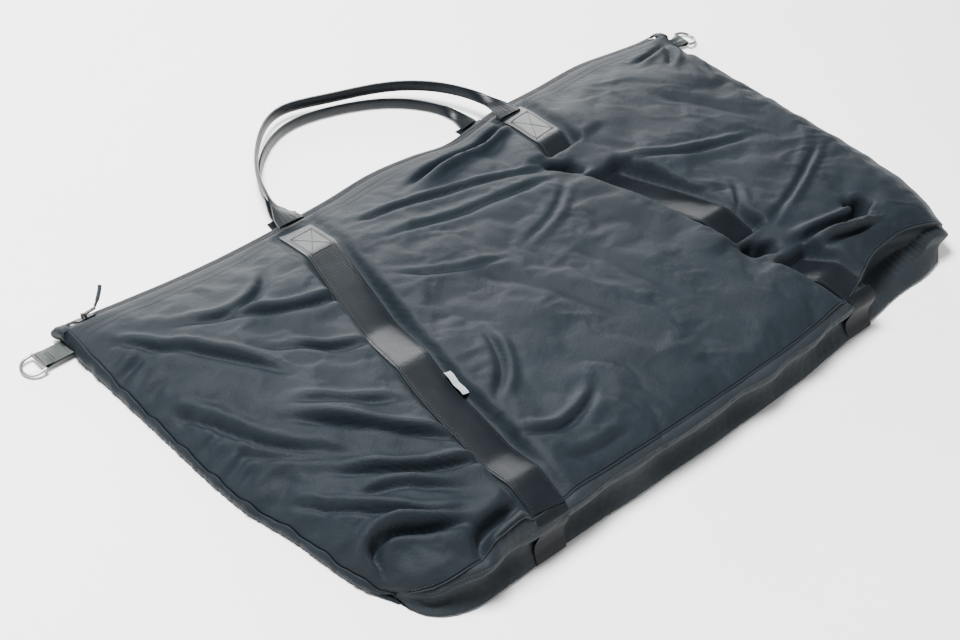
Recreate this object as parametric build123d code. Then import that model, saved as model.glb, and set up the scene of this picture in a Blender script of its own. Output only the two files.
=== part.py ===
from build123d import *
import math
import os

# A large soft bag with a full-length zip, lying on its back panel.
# Frame: X runs along the zip, +Y points from the base to the zip, +Z is up. Millimetres.
# Origin: centre of the back panel's flat underside, on the surface that the bag lies on.

# ---- driving dimensions ----
HALF_LENGTH = 540.0          # centre to end seam, along X
FLAT_LEFT = 345.0            # the cross-section is constant up to here on the left, then it tapers
FLAT_RIGHT = 455.0           # and up to here on the right, where the bag stays fuller
BASE_SEAM_Y = -286.0         # where the front panel meets the base gusset
FABRIC = 2.0                 # outer shell's thickness, with its seam allowance and coating
LINER_GAP = 0.8              # between shell and liner
LINER = 1.0                  # liner's thickness
BACK_TRAY_Z = 3.4            # the back panel turns up to this height at its rim
BACK_TURN_UP_Y = 200.0       # past here, the skin beyond the chain belongs to the back panel
FRONT_BANDS = (("lower", BASE_SEAM_Y, 60.0), ("upper", 60.0, 190.0), ("hem", 190.0, 400.0))
FRONT_SPANS = (
    ("left", -HALF_LENGTH, -FLAT_LEFT),
    ("middle", -FLAT_LEFT, FLAT_RIGHT),
    ("right", FLAT_RIGHT, HALF_LENGTH),
)

ZIP_TILT = 33.0              # the zip's plane falls away from the front panel by this angle, degrees
ZIP_CENTRE = (291.5, 22.9)   # y, z of the middle of the chain
ZIP_HALF_LENGTH = 532.0
SLOT_HALF = 8.0              # half the gap between the two hems, and its half depth
TAPE_REACH = 14.0            # the tape reaches this far from the chain's middle, under the hem
TAPE = 0.8
CHAIN_GAP = 0.7              # half the gap between the two coils
COIL_WIDTH = 3.6
COIL_HEIGHT = 2.6
TAPE_END = 1.0               # the tapes stop this far inside the slot's ends
COIL_END = 8.0               # and the coils this far inside the tapes'
STOP_GAP = 0.5
STOP_LENGTH = 5.0
TAPE_DROP = 0.1              # the tapes lie this far under the shell
COIL_SINK = 0.02             # the coils are set this far into the tapes
LINER_CLEARANCE = 0.6        # between the liner's cut edges and the tapes
LINER_CUT_N = -4.2           # the liner is cut away from here outwards, in the zip's frame

STRAP = 50.0                 # webbing width
WEB = 1.3                    # webbing thickness
STRAP_TOP_X = 195.0          # strap centre at the zip
STRAP_BASE_X = 305.0         # strap centre at the base
STRAP_LINE_Y = (330.0, -320.0)
STRAP_LIFT = 0.3             # the straps stand this far off the cloth
FRONT_STRAP_END_Y = 265.0
REAR_STRAP_END_Y = 310.0
REAR_STRAP_BASE_Y = -300.0
RECESS_GAP = 0.2             # round each rear strap, which lies flush in the back panel's underside
BASE_STRAP_GAP = 0.3         # between the front and base lengths of a strap
TACK_ROWS_Y = (252.0, 196.0)
TACK_HALF = 2.0
TACK_INSET = 4.0             # from the strap's edge
TACK_LIFT = 0.1
TACK_HEIGHT = 0.6

GRIP_WIDTH = 16.0            # the strap is folded and sewn narrow over the handle
GRIP_THICK = 4.0
FRONT_AXIS = (268.0, 40.5)   # y, z of the line that the front handle swings about
REAR_AXIS = (313.0, 2.6)
FRONT_LEG_X = 200.0
REAR_LEG_X = 172.0
FRONT_ROOT = 32.0            # flat length of each leg, from the axis
REAR_ROOT = 4.0
FRONT_REACH = 182.0          # from its axis to the far end of the loop
REAR_REACH = 127.0
REAR_RISE = 7.0              # the rear loop's middle stands this far above its axis
FRONT_DROOP = 8.5            # the front handle slopes down to the surface by this angle
TWIST_LENGTH = 34.0          # each leg turns from flat to on edge over this length

RING_WIRE = 2.0              # wire radius of the D-rings
RING_HALF = 14.5             # half the ring's width, to the wire's centre
RING_ARM = 9.0               # straight length between the bar and the bow
RING_CLEARANCE = 0.1
RING_DROOP = 12.5            # the ring slopes down to the surface by this angle
TAB_WIDTH = 24.6
TAB_THICK = 3.2
TAB_WRAP = 1.5               # webbing thickness round the bar
TAB_Y = 276.0
TAB_Z = 8.6
RING_BAR_X = 586.0

SLIDER_X = -508.0            # where the closed zip's slider stands
SLIDER_LENGTH = 24.0
SLIDER_WIDTH = 12.0
SLIDER_PLATE = 1.4
PULL_LENGTH = 18.0
PULL_WIDTH = 6.5
PULL_THICK = 1.8
PULL_LEAN = 84.0             # the pull leans towards +X by this angle from the zip's normal
PULL_HOLE = 1.6              # radius of the hole near the pull's end
PULL_HOLE_INSET = 4.5
PULL_CORNER = 2.4
EYE_WALL = 1.1
SLIDER_CLEARANCE = 0.3       # between the slider's plates and the chain
SLIDER_LIP = 1.2
DIVIDER_HALF = 0.45
DIVIDER_LENGTH = 5.0
POST_HALF = (1.2, 0.8)       # half length and half width of the two posts that hold the bail
POST_GAP = 0.5               # between the pull and each post
BAIL_RADIUS = 1.0            # the wire bail that the pull hangs on
BAIL_RISE = 3.4              # bail centre above the slider's top plate

COVER_INNER = 5.0            # each end cover reaches this far over the end seam, and past it
COVER_OUTER = 9.0
COVER_HALF = 13.0
COVER_N = (0.3, 2.0)         # its underside and top, out of the zip's plane
SKIRT_HALF = 9.0
SKIRT_LOW_Z = 11.0
SEAM_GAP = 0.3               # between the end seams and what lies over them
SEAM_OUTER = 2.0
BINDING_OUTER = 2.2
BINDING_Y = (-278.0, 258.0)
BINDING_Z = (2.0, 10.0)
LABEL_PLACE = (-243.0, -84.0, 87.4)
LABEL_SIZE = (9.0, 27.0, 0.8)
LABEL_TURN = 10.0
LABEL_TILT = -1.4

OVERLAP = 0.1                # pieces of one solid run into each other by this much
BIG = 2000.0                 # larger than the whole object

# ---- cross-section ----
# Each row is a point of the stuffed bag's outline: y, its height where the bag is full, its heights at the
# left and right end seams, and its outward direction in y and z.
CORNER_BACK = (-288.0, 0.0, 0.0, 0.0, -0.70, -1.00)
GUSSET_ROWS = [(-303.0, 24.0, 5.0, 20.0, -1.00, 0.00), (-301.0, 50.0, 9.0, 42.0, -0.95, 0.30)]
CORNER_FRONT = (BASE_SEAM_Y, 69.0, 12.0, 55.0, -0.60, 0.80)
FRONT_ROWS = [
    (-232.0, 81.0, 13.0, 62.0, -0.12, 0.99),
    (-130.0, 84.5, 14.0, 62.0, 0.00, 1.00),
    (0.0, 81.0, 15.0, 53.0, 0.05, 1.00),
    (120.0, 73.0, 17.0, 37.0, 0.12, 0.99),
    (190.0, 62.0, 20.0, 31.0, 0.24, 0.97),
    (240.0, 46.5, 26.0, 30.0, 0.36, 0.93),
]
HEM_FRONT = (279.0, 31.0, 31.0, 31.0, 0.50, 0.87)
HEM_BACK = (304.0, 14.8, 14.8, 14.8, 0.87, 0.25)
BACK_EDGE = (304.0, 5.0, 5.0, 5.0, 1.00, -0.40)
CORNER_ZIP = (298.0, 0.0, 0.0, 0.0, 0.50, -1.00)
LEFT_TAPER = [(FLAT_LEFT, 1.0), (405.0, 0.93), (455.0, 0.76), (498.0, 0.50), (526.0, 0.22), (HALF_LENGTH, 0.0)]
RIGHT_TAPER = [(FLAT_RIGHT, 1.0), (498.0, 0.82), (526.0, 0.45), (HALF_LENGTH, 0.0)]


def row_point(row, side, fullness, grow):
    """A section point, between its end-seam height and its full height, moved outwards by grow."""
    y, full_z, left_z, right_z, out_y, out_z = row
    end_z = left_z if side < 0 else right_z
    z = end_z + (full_z - end_z) * fullness
    return (y + out_y * grow, z + out_z * grow)


def section(side, x, fullness, grow):
    """The bag's closed outline at x from the centre, towards one side, as a face."""

    def place(row):
        return Vector(side * x, *row_point(row, side, fullness, grow))

    base_low, base_high, hem = place(CORNER_BACK), place(CORNER_FRONT), place(HEM_FRONT)
    far_hem, far_edge, far_low = place(HEM_BACK), place(BACK_EDGE), place(CORNER_ZIP)
    edges = [
        Spline(base_low, *[place(row) for row in GUSSET_ROWS], base_high),
        Spline(base_high, *[place(row) for row in FRONT_ROWS], hem),
        Line(hem, far_hem),
        Line(far_hem, far_edge),
        Line(far_edge, far_low),
        Line(far_low, base_low),
    ]
    return Face(Wire(edges))


def bag_solid(grow):
    """The whole stuffed bag, grown outwards by grow, or taken in where grow is negative."""
    whole = extrude(section(-1, FLAT_LEFT, 1.0, grow), amount=FLAT_LEFT + FLAT_RIGHT, dir=(1, 0, 0))
    solids = []
    for side, stations in ((-1, LEFT_TAPER), (1, RIGHT_TAPER)):
        for (x0, f0), (x1, f1) in zip(stations, stations[1:]):
            last = grow if x1 == HALF_LENGTH else 0.0
            pair = [section(side, x0, f0, grow), section(side, x1 + last, f1, grow)]
            solids.append(loft(pair, ruled=True))
    for piece in solids:
        whole = whole + piece
    return whole & block(-BIG, BIG, -BIG, BIG, -grow, BIG)


def block(x0, x1, y0, y1, z0, z1):
    """A box between two corners."""
    box = Box(x1 - x0, y1 - y0, z1 - z0, align=(Align.MIN, Align.MIN, Align.MIN))
    return Pos(x0, y0, z0) * box


# ---- the zip's own frame: x along the chain, u across it towards the back panel, n out of it ----
TILT = math.radians(ZIP_TILT)
ACROSS = Vector(0, math.cos(TILT), -math.sin(TILT))
OUT = Vector(0, math.sin(TILT), math.cos(TILT))


def zip_frame(x=0.0, u=0.0, n=0.0):
    """The location of a point of the zip's frame, turned into the zip's plane."""
    centre = Vector(x, ZIP_CENTRE[0], ZIP_CENTRE[1]) + ACROSS * u + OUT * n
    return Pos(*centre) * Rot(X=-ZIP_TILT)


def zip_block(x0, x1, u0, u1, n0, n1):
    """A box in the zip's frame."""
    return zip_frame() * block(x0, x1, u0, u1, n0, n1)


def beyond_chain():
    """Everything on the back panel's side of the chain."""
    return zip_block(-BIG, BIG, 0.0, BIG, -BIG, BIG)


# ---- shell and liner ----
def outer_panels(body):
    """Front panel in nine touching spans, end panels, back panel and base gusset, cut from one skin."""
    skin = body - bag_solid(-FABRIC)
    slot = zip_block(-ZIP_HALF_LENGTH, ZIP_HALF_LENGTH, -SLOT_HALF, SLOT_HALF, -SLOT_HALF, SLOT_HALF)
    skin = skin - slot
    for side in (-1, 1):
        skin = skin - strap_prism(side, STRAP + 2 * RECESS_GAP, -BIG, WEB + RECESS_GAP)
    tray = block(-BIG, BIG, -BIG, BIG, -BIG, BACK_TRAY_Z)
    low_or_back = tray + (beyond_chain() & block(-BIG, BIG, BACK_TURN_UP_Y, BIG, 0.0, BIG))
    back = skin & low_or_back
    upper = skin - low_or_back
    end_x = HALF_LENGTH - FABRIC
    found = {"back_panel": back}
    found["end_panel_left"] = upper & block(-BIG, -end_x, -BIG, BIG, -BIG, BIG)
    found["end_panel_right"] = upper & block(end_x, BIG, -BIG, BIG, -BIG, BIG)
    upper = upper & block(-end_x, end_x, -BIG, BIG, -BIG, BIG)
    found["base_gusset"] = upper & block(-BIG, BIG, -BIG, BASE_SEAM_Y, -BIG, BIG)
    for band, y0, y1 in FRONT_BANDS:
        for span, x0, x1 in FRONT_SPANS:
            found[f"front_panel_{band}_{span}"] = upper & block(x0, x1, y0, y1, -BIG, BIG)
    return found


def liner_panels():
    """The opaque liner inside the shell, open along the zip."""
    outside = FABRIC + LINER_GAP
    skin = bag_solid(-outside) - bag_solid(-outside - LINER)
    reach = TAPE_REACH + LINER_CLEARANCE
    skin = skin - zip_block(-BIG, BIG, -reach, reach, LINER_CUT_N, BIG)
    split_z = BACK_TRAY_Z + outside
    low_or_back = block(-BIG, BIG, -BIG, BIG, -BIG, split_z)
    low_or_back = low_or_back + (beyond_chain() & block(-BIG, BIG, BACK_TURN_UP_Y, BIG, 0.0, BIG))
    return {"liner_back": skin & low_or_back, "liner_front": skin - low_or_back}


# ---- straps ----
def strap_prism(side, width, z0, z1):
    """The plan view of one strap, running from the zip to the base, between two heights."""
    top = Vector(side * STRAP_TOP_X, STRAP_LINE_Y[0])
    base = Vector(side * STRAP_BASE_X, STRAP_LINE_Y[1])
    along = (top - base).normalized()
    across = Vector(-along.Y, along.X) * (width / 2)
    corners = [top + across, base + across, base - across, top - across]
    outline = Polyline(*[(p.X, p.Y, 0.0) for p in corners], close=True)
    return Pos(0, 0, z0) * extrude(Face(Wire(outline.edges())), amount=z1 - z0, dir=(0, 0, 1))


def straps(body_outer, body_inner):
    """Front, base and rear lengths of the two webbing straps."""
    ring = body_outer - body_inner
    found = {}
    for side, name in ((-1, "left"), (1, "right")):
        whole = ring & strap_prism(side, STRAP, WEB + RECESS_GAP, BIG)
        front_end = block(-BIG, BIG, BASE_SEAM_Y, FRONT_STRAP_END_Y, BACK_EDGE[1] + BACK_TRAY_Z, BIG)
        found[f"front_strap_{name}"] = whole & front_end
        found[f"base_strap_{name}"] = whole & block(-BIG, BIG, -BIG, BASE_SEAM_Y - BASE_STRAP_GAP, 0.0, BIG)
        flat = strap_prism(side, STRAP, 0.0, WEB)
        flat = flat & block(-BIG, BIG, REAR_STRAP_BASE_Y, REAR_STRAP_END_Y, 0.0, WEB)
        beyond_rim = flat & block(-BIG, BIG, 0.0, BIG, 0.0, WEB)
        found[f"rear_strap_{name}"] = (flat & body_outer) + beyond_rim
    return found


def bar_tacks(over, under):
    """Dense stitching across the front straps, just under each handle leg and again lower down."""
    skin = over - under
    tacks = []
    for side in (-1, 1):
        column = strap_prism(side, STRAP - 2 * TACK_INSET, HEM_BACK[1], BIG)
        for y in TACK_ROWS_Y:
            tacks.append(skin & column & block(-BIG, BIG, y - TACK_HALF, y + TACK_HALF, HEM_BACK[1], BIG))
    return Compound(children=[s for bar in tacks for s in bar.solids()])


# ---- handles ----
def handle_leg(x, start_y, start_z, end_z):
    """The length of a leg that turns from flat to standing on its edge."""
    steps = 5
    faces = []
    for k in range(steps + 1):
        share = k / steps
        turn = 90.0 * (3 * share**2 - 2 * share**3)
        y = start_y + TWIST_LENGTH * share
        z = start_z + (end_z - start_z) * math.sin(math.radians(turn))
        plane = Plane(origin=(x, y, z), x_dir=(1, 0, 0), z_dir=(0, 1, 0))
        faces.append(plane * Rot(Z=turn) * Rectangle(GRIP_WIDTH, GRIP_THICK))
    return loft([Face(Wire(f.edges())) for f in faces], ruled=True)


def handle(leg_x, axis, flat_length, reach, rise):
    """One handle: two flat roots at its axis, two twisting legs, and a loop that stands on its edge."""
    axis_y, axis_z = axis
    root_end = axis_y + flat_length
    loop_start = root_end + TWIST_LENGTH
    loop_reach = reach - flat_length - TWIST_LENGTH
    centre_z = axis_z + rise
    half_thick = GRIP_THICK / 2
    outer = Ellipse(leg_x + half_thick, loop_reach + half_thick)
    inner = Ellipse(leg_x - half_thick, loop_reach - half_thick)
    band = Pos(0, loop_start, centre_z - GRIP_WIDTH / 2) * extrude(outer - inner, amount=GRIP_WIDTH)
    made = band & block(-BIG, BIG, loop_start, BIG, -BIG, BIG)
    for side in (-1, 1):
        x = side * leg_x
        root = block(
            x - GRIP_WIDTH / 2, x + GRIP_WIDTH / 2, axis_y, root_end, axis_z - half_thick, axis_z + half_thick
        )
        made = made + root + handle_leg(x, root_end, axis_z, centre_z)
    return made


def front_handle():
    """The front handle, sloping down to the surface beyond the zip."""
    level = handle(FRONT_LEG_X, FRONT_AXIS, FRONT_ROOT, FRONT_REACH, 0.0)
    turn = Axis((0, *FRONT_AXIS), (1, 0, 0))
    return level.rotate(turn, -FRONT_DROOP)


def rear_handle():
    """The rear handle, lying on the surface on its edge."""
    return handle(REAR_LEG_X, REAR_AXIS, REAR_ROOT, REAR_REACH, REAR_RISE)


# ---- zip ----
def zip_parts():
    """Two tapes, two coils and the stops at the ends of the chain."""
    length = ZIP_HALF_LENGTH - TAPE_END
    tape_top = -FABRIC - TAPE_DROP
    coil_base = tape_top + COIL_SINK
    front_tape = zip_block(-length, length, -TAPE_REACH, -CHAIN_GAP, tape_top - TAPE, tape_top)
    back_tape = zip_block(-length, length, CHAIN_GAP, TAPE_REACH, tape_top - TAPE, tape_top)
    coil_half = length - COIL_END
    coil_far = CHAIN_GAP + COIL_WIDTH
    coil_top = coil_base + COIL_HEIGHT
    front_coil = zip_block(-coil_half, coil_half, -coil_far, -CHAIN_GAP, coil_base, coil_top)
    back_coil = zip_block(-coil_half, coil_half, CHAIN_GAP, coil_far, coil_base, coil_top)
    stops = {}
    for side, name in ((-1, "left"), (1, "right")):
        near = coil_half + STOP_GAP
        x0, x1 = sorted((side * near, side * (near + STOP_LENGTH)))
        stops[f"zip_stop_{name}"] = zip_block(x0, x1, -coil_far, coil_far, coil_base, coil_top)
    return {
        "zip_tape_front": front_tape,
        "zip_tape_back": back_tape,
        "zip_coil_front": front_coil,
        "zip_coil_back": back_coil,
        **stops,
    }


SLIDER_TOP = COIL_HEIGHT + SLIDER_CLEARANCE + SLIDER_PLATE - FABRIC - TAPE_DROP
BAIL_N = SLIDER_TOP + BAIL_RISE


def zip_slider():
    """Two plates round the chain, a thin divider between the coils, side lips, and a wire bail."""
    half_l, half_w = SLIDER_LENGTH / 2, SLIDER_WIDTH / 2
    x = SLIDER_X
    under = -FABRIC - TAPE_DROP - TAPE - SLIDER_CLEARANCE
    plate_low = SLIDER_TOP - SLIDER_PLATE
    top = zip_block(x - half_l, x + half_l, -half_w, half_w, plate_low, SLIDER_TOP)
    bottom = zip_block(x - half_l, x + half_l, -half_w, half_w, under - SLIDER_PLATE, under)
    nose = x - half_l + 1.0
    low, high = under - OVERLAP, plate_low + OVERLAP
    divider = zip_block(nose, nose + DIVIDER_LENGTH, -DIVIDER_HALF, DIVIDER_HALF, low, high)
    body = top + bottom + divider
    post_l, post_w = POST_HALF
    post_top = BAIL_N + post_l
    for side in (-1, 1):
        u0, u1 = sorted((side * (half_w - SLIDER_LIP), side * half_w))
        body = body + zip_block(x - half_l, x + half_l, u0, u1, SLIDER_CLEARANCE - FABRIC, high)
        post_u = side * (PULL_WIDTH / 2 + POST_GAP + post_w)
        u0, u1 = post_u - post_w, post_u + post_w
        body = body + zip_block(x - post_l, x + post_l, u0, u1, SLIDER_TOP - OVERLAP, post_top)
    pin_length = PULL_WIDTH + 2 * (POST_GAP + post_w + post_l) - POST_HALF[1]
    pin = zip_frame(x, 0, BAIL_N) * Rot(X=-90) * Cylinder(BAIL_RADIUS, pin_length)
    return body + pin


def zip_pull():
    """A flat pull with an eye on the bail, leaning along the zip, and a hole near its end."""
    bore = BAIL_RADIUS + RING_CLEARANCE
    eye = Rot(X=90) * Cylinder(bore + EYE_WALL, PULL_WIDTH - 2 * OVERLAP)
    tab = block(-PULL_THICK / 2, PULL_THICK / 2, -PULL_WIDTH / 2, PULL_WIDTH / 2, bore + OVERLAP, PULL_LENGTH)
    tip_hole = Pos(0, 0, PULL_LENGTH - PULL_HOLE_INSET) * Rot(Y=90) * Cylinder(PULL_HOLE, PULL_WIDTH)
    shape = eye + tab - tip_hole - Rot(X=90) * Cylinder(bore, 2 * PULL_WIDTH)
    corners = shape.edges().filter_by(Axis.X).sort_by(Axis.Z)[-2:]
    shape = fillet(corners, PULL_CORNER)
    return zip_frame(SLIDER_X, 0, BAIL_N) * Rot(Y=PULL_LEAN) * shape


def end_covers():
    """A folded square of cloth over each end of the zip, with a skirt down the end seam."""
    covers = {}
    under_n, top_n = COVER_N
    above = zip_block(-BIG, BIG, -BIG, BIG, under_n + OVERLAP, BIG)
    for side, name in ((-1, "left"), (1, "right")):
        x0, x1 = sorted((side * (HALF_LENGTH - COVER_INNER), side * (HALF_LENGTH + COVER_OUTER)))
        cover = zip_block(x0, x1, -COVER_HALF, COVER_HALF, under_n, top_n)
        x2, x3 = sorted((side * (HALF_LENGTH + SEAM_GAP), side * (HALF_LENGTH + SEAM_OUTER)))
        y0, y1 = ZIP_CENTRE[0] - SKIRT_HALF, ZIP_CENTRE[0] + SKIRT_HALF
        skirt = block(x2, x3, y0, y1, SKIRT_LOW_Z, BIG) - above
        covers[f"zip_end_cover_{name}"] = cover + skirt
    return covers


# ---- D-rings and their tabs ----
def ring_place(side):
    """The bar's middle, with the ring's bow turned outwards from the bag."""
    turn = 0.0 if side > 0 else 180.0
    return Pos(side * RING_BAR_X, TAB_Y, TAB_Z) * Rot(Z=turn)


def d_ring(side):
    """A bar and a half-round bow of wire."""
    bow = Torus(RING_HALF, RING_WIRE) & block(0.0, BIG, -BIG, BIG, -BIG, BIG)
    bar = Rot(X=90) * Cylinder(RING_WIRE, 2 * RING_HALF)
    ring = Pos(RING_ARM, 0, 0) * bow + bar
    for end in (-1, 1):
        arm = Pos(RING_ARM / 2, end * RING_HALF, 0) * Rot(Y=90) * Cylinder(RING_WIRE, RING_ARM)
        ring = ring + arm + Pos(0, end * RING_HALF, 0) * Sphere(RING_WIRE)
    return ring_place(side) * Rot(Y=RING_DROOP) * ring


def d_ring_tab(side):
    """Webbing folded round the bar and sewn into the end seam."""
    reach = RING_BAR_X - HALF_LENGTH - SEAM_GAP - OVERLAP
    half = TAB_THICK / 2
    slab = block(-reach, 0.0, -TAB_WIDTH / 2, TAB_WIDTH / 2, -half, half)
    wrap = Rot(X=90) * Cylinder(RING_WIRE + RING_CLEARANCE + TAB_WRAP, TAB_WIDTH)
    bore = Rot(X=90) * Cylinder(RING_WIRE + RING_CLEARANCE, 2 * TAB_WIDTH)
    return ring_place(side) * (slab + wrap - bore)


# ---- small pieces ----
def end_binding(side):
    """Tape over the end seam, between the base and the D-ring's tab."""
    x0, x1 = sorted((side * (HALF_LENGTH + SEAM_GAP), side * (HALF_LENGTH + BINDING_OUTER)))
    return block(x0, x1, *BINDING_Y, *BINDING_Z)


def side_label():
    """A blank folded label, caught under the edge of the left front strap."""
    return Pos(*LABEL_PLACE) * Rot(X=LABEL_TILT, Z=LABEL_TURN) * Box(*LABEL_SIZE)


def main():
    os.makedirs("parts", exist_ok=True)
    body = bag_solid(0.0)
    lifted = bag_solid(STRAP_LIFT)
    covered = bag_solid(STRAP_LIFT + WEB)
    nodes = {}
    nodes.update(outer_panels(body))
    nodes.update(liner_panels())
    nodes.update(straps(covered, lifted))
    tack_under = STRAP_LIFT + WEB + TACK_LIFT
    nodes["strap_bar_tacks"] = bar_tacks(bag_solid(tack_under + TACK_HEIGHT), bag_solid(tack_under))
    nodes.update(zip_parts())
    nodes.update(end_covers())
    nodes["zip_slider"] = zip_slider()
    nodes["zip_pull"] = zip_pull()
    nodes["front_handle"] = front_handle()
    nodes["rear_handle"] = rear_handle()
    for side, name in ((-1, "left"), (1, "right")):
        nodes[f"d_ring_{name}"] = d_ring(side)
        nodes[f"d_ring_tab_{name}"] = d_ring_tab(side)
        nodes[f"end_binding_{name}"] = end_binding(side)
    nodes["side_label"] = side_label()
    for name, shape in nodes.items():
        export_step(shape, f"parts/{name}.step")


main()
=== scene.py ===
import math

import bpy
import numpy as np
from mathutils import Matrix, Vector


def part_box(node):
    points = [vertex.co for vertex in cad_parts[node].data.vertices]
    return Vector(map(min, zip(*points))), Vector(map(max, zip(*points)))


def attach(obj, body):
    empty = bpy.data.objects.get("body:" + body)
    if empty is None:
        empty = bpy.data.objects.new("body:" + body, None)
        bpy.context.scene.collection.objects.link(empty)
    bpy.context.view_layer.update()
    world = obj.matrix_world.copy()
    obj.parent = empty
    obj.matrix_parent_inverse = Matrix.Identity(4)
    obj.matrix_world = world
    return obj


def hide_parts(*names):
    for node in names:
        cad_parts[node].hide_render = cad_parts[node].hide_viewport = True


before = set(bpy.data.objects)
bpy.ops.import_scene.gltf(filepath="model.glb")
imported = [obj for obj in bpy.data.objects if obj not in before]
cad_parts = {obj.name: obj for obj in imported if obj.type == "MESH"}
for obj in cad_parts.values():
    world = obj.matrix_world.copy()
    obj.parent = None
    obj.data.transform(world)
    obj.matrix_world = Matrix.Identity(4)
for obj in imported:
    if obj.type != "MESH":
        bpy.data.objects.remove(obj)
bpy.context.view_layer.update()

# A large soft zip-top bag lying on its back panel. Metres, in the CAD frame:
# X along the zip, +Y from the base to the zip, +Z up, origin under the middle of the back panel.


def mm(*values):
    """Numbers, or points, given in millimetres."""
    return np.array(values) / 1000


# ---- driving dimensions ----
HALF = 0.540                  # centre to end seam
FLAT_LEFT = 0.345             # the section is full up to here on the left, then it falls to the end seam
FLAT_RIGHT = 0.455            # and up to here on the right, where the bag stays full
BASE_Y = -0.286               # front panel's lower edge
HEM_Y = 0.279                 # where the front panel folds down to the zip
END_X = 0.5395                # the shell's last station
STRAP = 0.050                 # width of the strap's webbing
WEB_WIDE = STRAP - 0.001      # and as laid, with a little taken off for its rounded edges
WEB = 0.0016                  # its thickness
CLOTH_THICK, LINER_THICK = 0.0012, 0.0008
LINER_GAP = 0.0045            # from the cloth to the liner inside it
FLOOR_ROWS = 50               # rows of the shell that lie on the floor
LOOP_WIDTH, HANDLE_THICK = 0.0150, 0.0036
REAR_ROOT_X = 0.172           # the rear handle's roots, on the rear straps' ends
MOST_MOVED = 0.0022           # how far the cloth simulation may move a point
LAST_FRAME = 14
RIM_ANGLE = math.radians(50)  # edges sharper than this stay sharp
SIDES = ((-1, "left"), (1, "right"))
ZIP_Y, ZIP_Z, ZIP_TILT = 0.2915, 0.0229, math.radians(33.0)
ACROSS = Vector((0.0, math.cos(ZIP_TILT), -math.sin(ZIP_TILT)))
OUT = Vector((0.0, math.sin(ZIP_TILT), math.cos(ZIP_TILT)))

# Height of the stuffed front panel over y, in the middle of the bag and at its end seams.
FRONT_Y = mm(-286, -262, -225, -130, 0, 110, 175, 215, 250, 279)
FRONT_Z = mm(64, 73.5, 79, 83.5, 80, 74, 66.5, 56, 43, 31)
LEFT_Z = mm(11, 12, 13, 13, 12, 13, 16, 21, 27, 31)
RIGHT_Z = mm(36, 46, 56, 60, 52, 38, 30, 27, 28, 31)

# The base line in plan: how far the base is drawn in at each x.
DRAW_X = mm(-550, -540, -530, -510, -485, -450, -400, -300, 0, 170, 300, 420, 500, 550)
DRAW_IN = mm(46, 42, 29, 15, 5, -2, -3, 0, 1, 6, 18, 30, 34, 40)

# The left end seam in plan: how far it is drawn in at each y.
SEAM_Y = mm(-310, -286, -265, -240, -180, -140, -100, -60, 0, 100)
SEAM_IN = mm(54, 50, 38, 31, 23, 19, 12, 4, 0, 0)

# The zip's line in plan: how far the mouth is drawn in between and beside the handles.
MOUTH_X = mm(-550, -500, -440, -370, -300, -200, -120, -20, 50, 100, 155, 200, 300, 400, 470, 510, 550)
MOUTH_IN = mm(-3, 0, 5, 10, 12, 10, 6, -2, 3, 11, 4, -4, -8, -12, -4, 0, 0)

CREASE = 1.15                 # every crease is this many times as deep as listed

# Creases, in mm: depth, half-width, then points in plan.
CREASES = [(depth / 1000, width / 1000, mm(*points)) for depth, width, *points in (
    (8.5, 5, (-525, 245), (-480, 180), (-435, 100), (-400, 30)),
    (6, 6.5, (-470, 215), (-400, 172), (-340, 178), (-290, 225)),
    (9, 5.5, (-420, 180), (-350, 135), (-300, 112), (-250, 100)),
    (9, 5.5, (-535, 130), (-505, 50), (-480, -30), (-430, -105)),
    (5, 4.5, (-440, 12), (-405, -20), (-370, -50), (-330, -85)),
    (12, 5, (-460, 0), (-410, -60), (-370, -110), (-315, -175)),
    (11, 5, (-475, -90), (-430, -135), (-370, -178), (-315, -205)),
    (6, 4.5, (-480, -140), (-430, -165), (-370, -215)),
    (8.5, 5, (-535, -70), (-490, -150), (-430, -215), (-380, -240)),
    (20, 5.8, (-528, -262), (-507, -212), (-482, -206), (-436, -232), (-400, -254)),
    (18, 8, (-325, -262), (-355, -266), (-400, -268), (-435, -290)),
    (4.5, 4, (-520, 20), (-490, -40), (-450, -90)),
    (4, 4, (-410, 100), (-360, 60), (-310, 20)),
    (5, 4.5, (-380, 90), (-340, 40), (-300, 15)),
    (8, 5.5, (-175, -45), (-185, -80), (-210, -115), (-255, -145)),
    (7, 5, (-275, -185), (-220, -215), (-170, -212), (-120, -190)),
    (3, 4, (-200, 100), (-120, 55), (-40, 30)),
    (19, 6, (185, 255), (120, 250), (40, 238), (-50, 225)),
    (7, 4.5, (-160, 218), (-80, 196), (30, 168), (150, 130)),
    (4.5, 5, (-170, 165), (-60, 140), (50, 122), (140, 112)),
    (3, 4.5, (130, 100), (60, 60), (-20, 40)),
    (6, 4.5, (215, 95), (260, 62), (330, 35), (430, 12)),
    (3.5, 4.5, (200, 70), (240, 0), (300, -60)),
    (4, 4.5, (490, -50), (420, -85), (360, -110), (270, -135)),
    (13, 5.5, (275, -170), (330, -190), (400, -205), (430, -215)),
    (11, 6, (300, -205), (370, -235), (430, -258)),
    (5, 4, (250, -130), (270, -90), (310, -40)),
    (8, 4.5, (515, 262), (490, 225), (450, 195)),
    (8, 4.5, (530, 235), (505, 205), (480, 150)),
    (7, 4.5, (525, 265), (475, 245), (420, 232)),
    (4.5, 6, (-240, -250), (-200, -262), (-130, -262)),
    (3.5, 12, (-120, 60), (-50, -40), (0, -160)),
    (3, 12, (20, 40), (60, -80), (90, -200)),
    (3, 10, (360, 180), (420, 100), (460, 20)),
)]

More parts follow.
